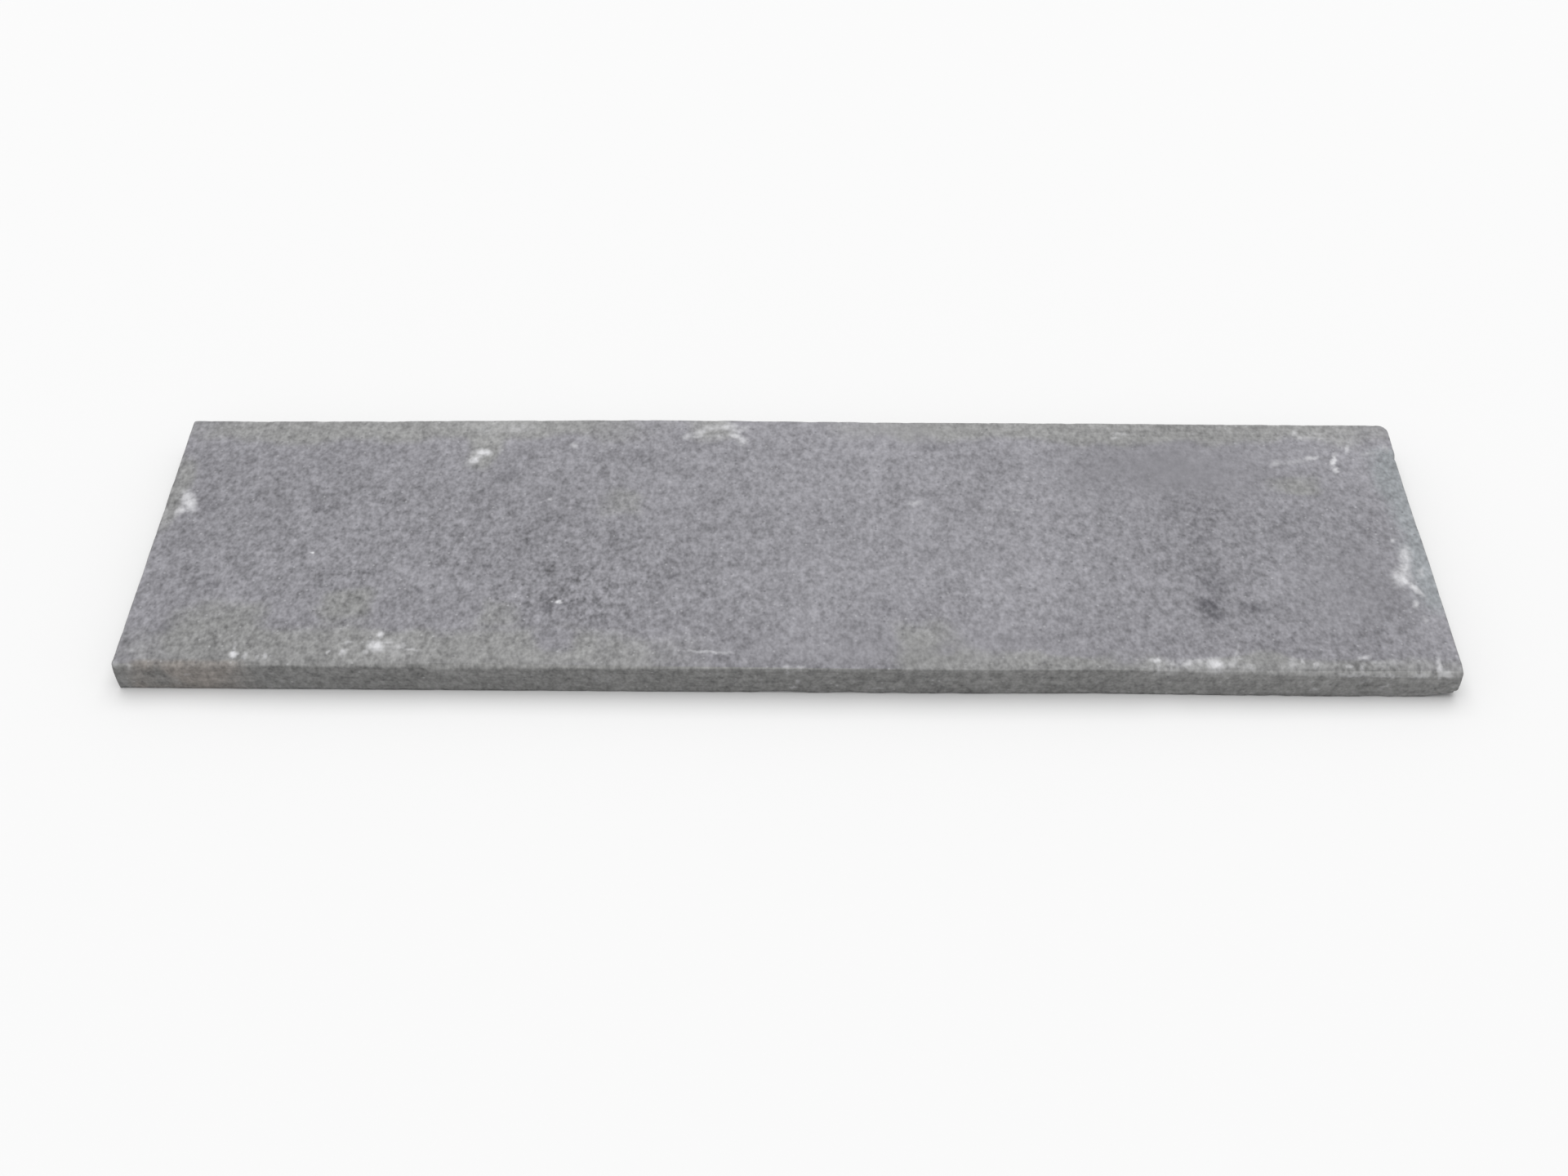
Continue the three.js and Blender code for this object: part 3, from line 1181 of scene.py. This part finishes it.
@cache
def mottle_group() -> bpy.types.NodeTree:
    """Random shade at one size: noise whose cell is Cell metres, stretched to about -1 to 1.

    Returns:
        A group of Place, Cell, Layers and Keep that gives Shade.
    """
    inputs = {"Place": VECTOR, "Cell": FLOAT, "Layers": FLOAT, "Keep": FLOAT}
    board, given, out = new_group("mottle", inputs, {"Shade": FLOAT})
    noise = board.node("ShaderNodeTexNoise", {
        "Vector": given["Place"],
        "Scale": board.math("DIVIDE", 1.0, given["Cell"]),
        "Detail": given["Layers"],
        "Roughness": given["Keep"],
    })
    centred = board.math("SUBTRACT", noise.outputs[0], NOISE_MIDDLE)
    board.feed(out["Shade"], board.math("MULTIPLY", centred, NOISE_GAIN))
    return board.tree


@cache
def speck_group() -> bpy.types.NodeTree:
    """Scattered specks: cells Cell metres wide, of which Share hold a speck Size cells in radius.

    Returns:
        A group of Place, Cell, Share and Size that gives Mask.
    """
    inputs = {"Place": VECTOR, "Cell": FLOAT, "Share": FLOAT, "Size": FLOAT}
    board, given, out = new_group("specks", inputs, {"Mask": FLOAT})
    scale = board.math("DIVIDE", 1.0, given["Cell"])
    cells = board.node("ShaderNodeTexVoronoi", {"Vector": given["Place"], "Scale": scale})
    chance = board.node("ShaderNodeSeparateColor", {"Color": cells.outputs["Color"]}).outputs[0]
    chosen = board.math("LESS_THAN", chance, given["Share"])
    from_middle = board.math("DIVIDE", cells.outputs["Distance"], given["Size"])
    inside = board.math("SUBTRACT", 1.0, from_middle, clamp=True)
    board.feed(out["Mask"], board.math("MULTIPLY", chosen, board.ramp(inside, 0.0, SPECK_CORE)))
    return board.tree


@cache
def mark_group() -> bpy.types.NodeTree:
    """One elliptical mark laid over the marks so far: the larger of Below and the mark's own mask.

    Along and Across are the ellipse's own directions, each divided by its half size, so the place from the
    centre, measured along both, has length 1 on the rim. The mark's mask is Strength x a smooth ramp from
    1 well inside the rim to 0 a little outside it.

    Returns:
        A group of Place, Centre, Along, Across, Strength and Below that gives Mask.
    """
    vectors = {label: VECTOR for label in ("Place", "Centre", "Along", "Across")}
    board, given, out = new_group("mark", {**vectors, "Strength": FLOAT, "Below": FLOAT}, {"Mask": FLOAT})
    away = board.vector("SUBTRACT", given["Place"], given["Centre"]).outputs[0]
    along = board.vector("DOT_PRODUCT", away, given["Along"]).outputs["Value"]
    across = board.vector("DOT_PRODUCT", away, given["Across"]).outputs["Value"]
    squares = board.math("MULTIPLY_ADD", along, along, board.math("MULTIPLY", across, across))
    soft = board.ramp(board.math("SQRT", squares), RIM_OUTSIDE, RIM_INSIDE)
    own = board.math("MULTIPLY", soft, given["Strength"])
    board.feed(out["Mask"], board.math("MAXIMUM", own, given["Below"]))
    return board.tree


@dataclass(frozen=True)
class Mottle:
    """A random shade of the stone: its cells, in metres, and how strongly it lightens and darkens.

    The layers are its finer layers of noise, and keep is how much each of them counts.
    """

    cell: float
    layers: float
    keep: float
    contrast: float


@dataclass(frozen=True)
class Specks:
    """Scattered specks: a cell's width in metres, the share of cells with one, and its size in cells.

    The strength is how much of their colour covers the stone.
    """

    cell: float
    share: float
    size: float
    strength: float


@dataclass(frozen=True)
class Mix:
    """What the finish is mixed from: the board that holds its nodes, and output sockets.

    The place is measured from the middle of the slab's underside, and alive is how strongly the grain
    shows. The others are the random shades and specks.
    """

    board: NodeBoard
    place: Socket
    alive: Socket
    fine: Socket
    middle: Socket
    blotch: Socket
    broad: Socket
    saw: Socket
    pores: Socket
    grit: Socket


@dataclass(frozen=True)
class HoneStone:
    """The finish of the stone: a dry, matt, fine-grained grey with pale bruises, painted light and shade.

    Heights, lengths, reaches and depths are in metres. Contrasts, shares and strengths are plain ratios.
    A range is where a ramp of a random shade starts and ends.
    """

    body: Colour = (0.190, 0.1872, 0.2025, 1.0)
    neutral: Colour = (0.193, 0.193, 0.192, 1.0)
    cool: Colour = (0.186, 0.196, 0.206, 1.0)
    sawn: Colour = (0.190, 0.190, 0.187, 1.0)
    earth: Colour = (0.210, 0.194, 0.181, 1.0)
    # Pale colour of grit, bruises and worn arrises, also laid on the front rounding as painted light.
    pale: Colour = (0.50, 0.50, 0.515, 1.0)
    pore: Colour = (0.060, 0.059, 0.068, 1.0)
    grain_stretch: float = 1.35
    fine: Mottle = Mottle(1.1 * MM, 1.5, 0.8, 0.37)
    middle: Mottle = Mottle(2.6 * MM, 1.0, 0.5, 0.085)
    blotch: Mottle = Mottle(8.0 * MM, 2.0, 0.6, 0.085)
    broad: Mottle = Mottle(30.0 * MM, 2.0, 0.5, 0.07)
    saw: Mottle = Mottle(0.9 * MM, 2.0, 0.6, 0.12)
    saw_length: float = 14.0 * MM
    pores: Specks = Specks(1.1 * MM, 0.12, 0.34, 0.38)
    grit: Specks = Specks(1.2 * MM, 0.12, 0.28, 0.25)
    tone_contrast: float = 0.30
    neutral_wander: float = 0.18
    neutral_range: Pair = (0.1, 0.9)
    earth_range: Pair = (-1.2, 0.6)
    # Painted shade along the foot of the sides: how high it reaches and how much it darkens.
    foot_shade_height: float = 0.8 * MM
    foot_shade_strength: float = 0.22
    # Pale arrises: chalky wear, and painted light on the front rounding that offsets its shade.
    worn_and_lit_share: float = 0.15
    worn_and_lit_range: Pair = (-1.8, 2.2)
    dark_mark_grain: float = -0.35
    dark_mark_level: float = 0.8
    pale_mark_grain: float = 0.4
    pale_mark_level: float = 1.0
    rag_cell: float = 1.2 * MM
    rag_layers: float = 2.0
    rag_reach: float = 1.2 * MM
    face_reach: float = 2.4 * MM
    face_full_reach: float = 1.2 * MM
    roughness: float = 0.86
    rough_contrast: float = 0.05
    specular: float = 0.3
    pore_depth: float = 0.8
    grain_height: float = 0.5
    bump_depth: float = 0.05 * MM

    def material(self, slab: WornSlab) -> bpy.types.Material:
        """Makes the material.

        Args:
            slab: the slab that it dresses. Its marks are measured from the middle of the slab's underside.

        Returns:
            The material.
        """
        material = bpy.data.materials.new(STONE_SLOT)
        material.use_nodes = True
        material.node_tree.nodes.clear()
        board = NodeBoard(material.node_tree)
        coordinates = board.node("ShaderNodeTexCoord").outputs["Object"]
        centring = {"Vector": coordinates, "Location": tuple(-slab.centre)}
        place = board.node("ShaderNodeMapping", centring).outputs[0]
        mix = self.mix(board, place)
        colour = board.scaled(self.ground(mix), self.light(mix))
        colour = self.marked(mix, self.peppered(mix, colour), slab)
        grain = board.math("MULTIPLY", mix.fine, self.grain_height)
        relief = board.math("MULTIPLY_ADD", mix.pores, -self.pore_depth, grain)
        relief = board.math("MULTIPLY", relief, mix.alive)
        bump = board.node("ShaderNodeBump", {"Distance": self.bump_depth, "Height": relief})
        shader = board.node("ShaderNodeBsdfPrincipled", {
            "Base Color": colour,
            "Roughness": board.math("MULTIPLY_ADD", mix.fine, self.rough_contrast, self.roughness),
            "Normal": bump.outputs["Normal"],
            "Specular IOR Level": self.specular,
        })
        board.node("ShaderNodeOutputMaterial", {"Surface": shader.outputs[0]})
        return material

    def mix(self, board: NodeBoard, place: Socket) -> Mix:
        """Lays out what the finish is mixed from.

        Args:
            board: where the nodes go.
            place: the place, from the middle of the slab's underside.

        Returns:
            The mix.
        """

        def mottled(where: Socket, kind: Mottle) -> Socket:
            """The mottle group's shade at these places."""
            sizes = {"Cell": kind.cell, "Layers": kind.layers, "Keep": kind.keep}
            return board.placed(mottle_group(), {"Place": where, **sizes})

        def speckled(kind: Specks) -> Socket:
            """The speck group's mask for these specks."""
            sizes = {"Cell": kind.cell, "Share": kind.share, "Size": kind.size}
            return board.placed(speck_group(), {"Place": place, **sizes})

        stretched = board.vector("MULTIPLY", place, (1.0, 1.0 / self.grain_stretch, 1.0)).outputs[0]
        sawn_way = (self.saw.cell / self.saw_length, 1.0, 1.0)
        lengthwise = board.vector("MULTIPLY", place, sawn_way).outputs[0]
        return Mix(
            board=board,
            place=place,
            alive=board.math("SUBTRACT", 1.0, board.attribute("calm")),
            fine=mottled(stretched, self.fine),
            middle=mottled(place, self.middle),
            blotch=mottled(place, self.blotch),
            broad=mottled(place, self.broad),
            saw=mottled(lengthwise, self.saw),
            pores=speckled(self.pores),
            grit=speckled(self.grit),
        )

    def ground(self, mix: Mix) -> Socket:
        """The stone's own colour: violet grey, with neutral, bluish, sawn and earthy parts.

        Args:
            mix: what the finish is mixed from.

        Returns:
            The colour before its light and dark.
        """
        board = mix.board
        neutral = board.math("MULTIPLY_ADD", mix.blotch, self.neutral_wander, board.attribute("neutral"))
        colour = board.blend(board.ramp(neutral, *self.neutral_range), self.body, self.neutral)
        colour = board.blend(board.attribute("cool"), colour, self.cool)
        colour = board.blend(board.attribute("side"), colour, self.sawn)
        patchy = board.ramp(mix.blotch, *self.earth_range)
        return board.blend(board.math("MULTIPLY", board.attribute("earth"), patchy), colour, self.earth)

    def light(self, mix: Mix) -> Socket:
        """How light or dark the stone is at each place: 1 on average.

        Args:
            mix: what the finish is mixed from.

        Returns:
            The factor for the colour.
        """
        board = mix.board
        light = board.math("MULTIPLY_ADD", board.attribute("tone"), self.tone_contrast, 1.0)
        saw_lines = board.math("MULTIPLY", mix.saw, board.attribute("streaks"))
        light = board.math("MULTIPLY_ADD", saw_lines, self.saw.contrast, light)
        light = board.math("MULTIPLY_ADD", mix.broad, self.broad.contrast, light)
        light = board.math("MULTIPLY_ADD", mix.blotch, self.blotch.contrast, light)
        fine = board.math("MULTIPLY", mix.fine, self.fine.contrast)
        grain = board.math("MULTIPLY_ADD", mix.middle, self.middle.contrast, fine)
        light = board.math("MULTIPLY_ADD", grain, mix.alive, light)
        # Painted shade: the sides darken over their lowest part, towards the underside where the floor
        # meets them.
        height = board.node("ShaderNodeSeparateXYZ", {"Vector": mix.place}).outputs["Z"]
        foot_shade = board.math("MULTIPLY", board.attribute("side"), board.ramp(height, self.foot_shade_height, 0.0))
        return board.math("MULTIPLY_ADD", foot_shade, -self.foot_shade_strength, light)

    def peppered(self, mix: Mix, colour: Socket) -> Socket:
        """Adds dark pores, pale grit and pale arrises: wear, with painted light on the front rounding.

        Args:
            mix: what the finish is mixed from.
            colour: the colour so far.

        Returns:
            The colour with them.
        """
        board = mix.board
        layers = ((mix.pores, self.pores, self.pore), (mix.grit, self.grit, self.pale))
        for specks, kind, over in layers:
            share = board.math("MULTIPLY", board.math("MULTIPLY", specks, kind.strength), mix.alive)
            colour = board.blend(share, colour, over)
        # The pale arrises: chalky wear, and on the front rounding painted light that offsets its shade.
        patchy = board.ramp(board.math("ADD", mix.fine, mix.blotch), *self.worn_and_lit_range)
        worn_and_lit = board.math("MULTIPLY", board.attribute("worn_and_lit"), patchy)
        return board.blend(board.math("MULTIPLY", worn_and_lit, self.worn_and_lit_share), colour, self.pale)

    def marked(self, mix: Mix, colour: Socket, slab: WornSlab) -> Socket:
        """Adds the dark stains and the pale bruises, each broken up by the grain.

        The marks of a face fade out away from it, so they never show on another one. All are measured from
        a place that fine noise has shifted, which makes their rims ragged.

        Args:
            mix: what the finish is mixed from.
            colour: the colour so far.
            slab: the slab that carries the marks.

        Returns:
            The colour with them.
        """
        board = mix.board
        rag = {"Vector": mix.place, "Scale": 1.0 / self.rag_cell, "Detail": self.rag_layers}
        ragged = board.node("ShaderNodeTexNoise", rag).outputs["Color"]
        shift = board.vector("SUBTRACT", ragged, (NOISE_MIDDLE, NOISE_MIDDLE, NOISE_MIDDLE)).outputs[0]
        shifted = board.vector("ADD", mix.place, board.scaled(shift, self.rag_reach)).outputs[0]
        apart = board.node("ShaderNodeSeparateXYZ", {"Vector": mix.place}).outputs
        below_top = board.math("SUBTRACT", slab.thickness, apart["Z"])
        behind_front = board.math("ADD", slab.half_width, apart["Y"])
        dark_break = board.math("MULTIPLY_ADD", mix.fine, self.dark_mark_grain, self.dark_mark_level)
        pale_break = board.math("MULTIPLY_ADD", mix.fine, self.pale_mark_grain, self.pale_mark_level)
        layers = (
            (Face.WORKING, below_top, DARK_MARKS, dark_break, self.pore),
            (Face.WORKING, below_top, PALE_MARKS, pale_break, self.pale),
            (Face.FRONT, behind_front, FRONT_FACE_MARKS, pale_break, self.pale),
        )
        for face, from_face, table, broken, over in layers:
            on_face = board.ramp(from_face, self.face_reach, self.face_full_reach)
            mask = board.math("MULTIPLY", self.marks(board, shifted, face, table), on_face)
            colour = board.blend(board.math("MULTIPLY", mask, broken, clamp=True), colour, over)
        return colour

    @staticmethod
    def marks(board: NodeBoard, place: Socket, face: Face, table: tuple[Mark, ...]) -> Socket:
        """Lays one table of marks over one another.

        Args:
            board: where the nodes go.
            place: the place that the marks are measured from.
            face: the face that the marks lie on.
            table: the marks.

        Returns:
            The mask of all the marks together.
        """
        lengthwise = Vector((1.0, 0.0, 0.0))
        upwards = Vector(face.value)
        mask = 0.0
        for mark in table:
            turn = math.radians(mark.turn)
            along = math.cos(turn) * lengthwise + math.sin(turn) * upwards
            across = math.cos(turn) * upwards - math.sin(turn) * lengthwise
            mask = board.placed(mark_group(), {
                "Place": place,
                "Centre": MM * (mark.x * lengthwise + mark.y * upwards),
                "Along": along / (mark.half_length * MM),
                "Across": across / (mark.half_width * MM),
                "Strength": mark.strength,
                "Below": mask,
            })
        return mask


@dataclass
class Studio:
    """The plain floor, the soft light and the camera around the stone.

    Sizes are in metres, the lens and its sensor in millimetres, the light's power in watts, and the
    camera's angles in degrees.
    """

    floor_level: float
    floor_size: float = 60.0
    floor_colour: Colour = (0.66, 0.66, 0.66, 1.0)
    top_light_size: float = 12.8
    top_light_height: float = 10.4
    top_light_back: float = 2.8
    top_light_power: float = 1312.0
    sky_colour: Colour = (1.0, 1.0, 1.0, 1.0)
    sky_strength: float = 0.70
    focal_length: float = 42.59
    sensor_width: float = 36.0
    nearest_view: float = 0.01
    eye: Triple = (0.002276, -0.262415, 0.269597)
    heading: float = -0.6614
    tilt: float = 46.6071
    roll: float = 0.0983

    def floor(self) -> None:
        """Lays the floor: a flat sheet, with its finish."""
        half = self.floor_size / 2.0
        outline = ((-half, -half), (half, -half), (half, half), (-half, half))
        corners = [(x, y, self.floor_level) for x, y in outline]
        data = bpy.data.meshes.new("floor")
        data.from_pydata(corners, [], [(0, 1, 2, 3)])
        paint = bpy.data.materials.new("floor_paint")
        paint.use_nodes = True
        shader = paint.node_tree.nodes["Principled BSDF"]
        shader.inputs["Base Color"].default_value = self.floor_colour
        shader.inputs["Roughness"].default_value = 1.0
        shader.inputs["Specular IOR Level"].default_value = 0.0
        data.materials.append(paint)
        sheet = bpy.data.objects.new("floor", data)
        bpy.context.scene.collection.objects.link(sheet)

    def lights(self) -> None:
        """Hangs one large soft light above and a little behind, in an even pale sky."""
        data = bpy.data.lights.new("top_light", "AREA")
        data.shape = "SQUARE"
        data.size = self.top_light_size
        data.energy = self.top_light_power
        lamp = bpy.data.objects.new("top_light", data)
        lamp.location = (0.0, self.top_light_back, self.top_light_height)
        towards_stone = -lamp.location
        lamp.rotation_euler = towards_stone.to_track_quat("-Z", "Y").to_euler()
        bpy.context.scene.collection.objects.link(lamp)
        world = bpy.data.worlds.new("sky")
        world.use_nodes = True
        background = world.node_tree.nodes["Background"]
        background.inputs["Color"].default_value = self.sky_colour
        background.inputs["Strength"].default_value = self.sky_strength
        bpy.context.scene.world = world

    def camera(self) -> None:
        """Sets the camera: heading from +Y towards +X, tilt down from level, then roll about the view."""
        data = bpy.data.cameras.new("camera")
        data.sensor_width = self.sensor_width
        data.lens = self.focal_length
        data.clip_start = self.nearest_view
        heading, tilt, roll = (math.radians(angle) for angle in (self.heading, self.tilt, self.roll))
        outwards = Vector((math.sin(heading), math.cos(heading), 0.0))
        ahead = math.cos(tilt) * outwards - math.sin(tilt) * Vector((0.0, 0.0, 1.0))
        level = Vector((math.cos(heading), -math.sin(heading), 0.0))
        down = ahead.cross(level)
        right = math.cos(roll) * level + math.sin(roll) * down
        up = math.sin(roll) * level - math.cos(roll) * down
        turn = Matrix((right, up, -ahead)).transposed()
        camera = bpy.data.objects.new("camera", data)
        camera.matrix_world = Matrix.Translation(self.eye) @ turn.to_4x4()
        bpy.context.scene.collection.objects.link(camera)
        bpy.context.scene.camera = camera

    def build(self) -> None:
        """Builds the floor, the lights and the camera, and asks for plain colours on screen."""
        self.floor()
        self.lights()
        self.camera()
        bpy.context.scene.view_settings.view_transform = "Standard"
        log.info("studio: floor, light and camera")


def main() -> None:
    """Builds the studio and the stone."""
    logging.basicConfig(level=logging.INFO, format="%(message)s")
    low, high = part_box(STONE_NODE)
    Studio(floor_level=low.z).build()
    slab = WornSlab(low, high)
    stone = slab.mesh("worn_slab")
    stone.data.materials.append(HoneStone().material(slab))
    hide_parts(STONE_NODE)
    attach(stone, "root")
    log.info("%s rides on root and stands for %s", stone.name, STONE_NODE)


if __name__ == "__main__":
    main()
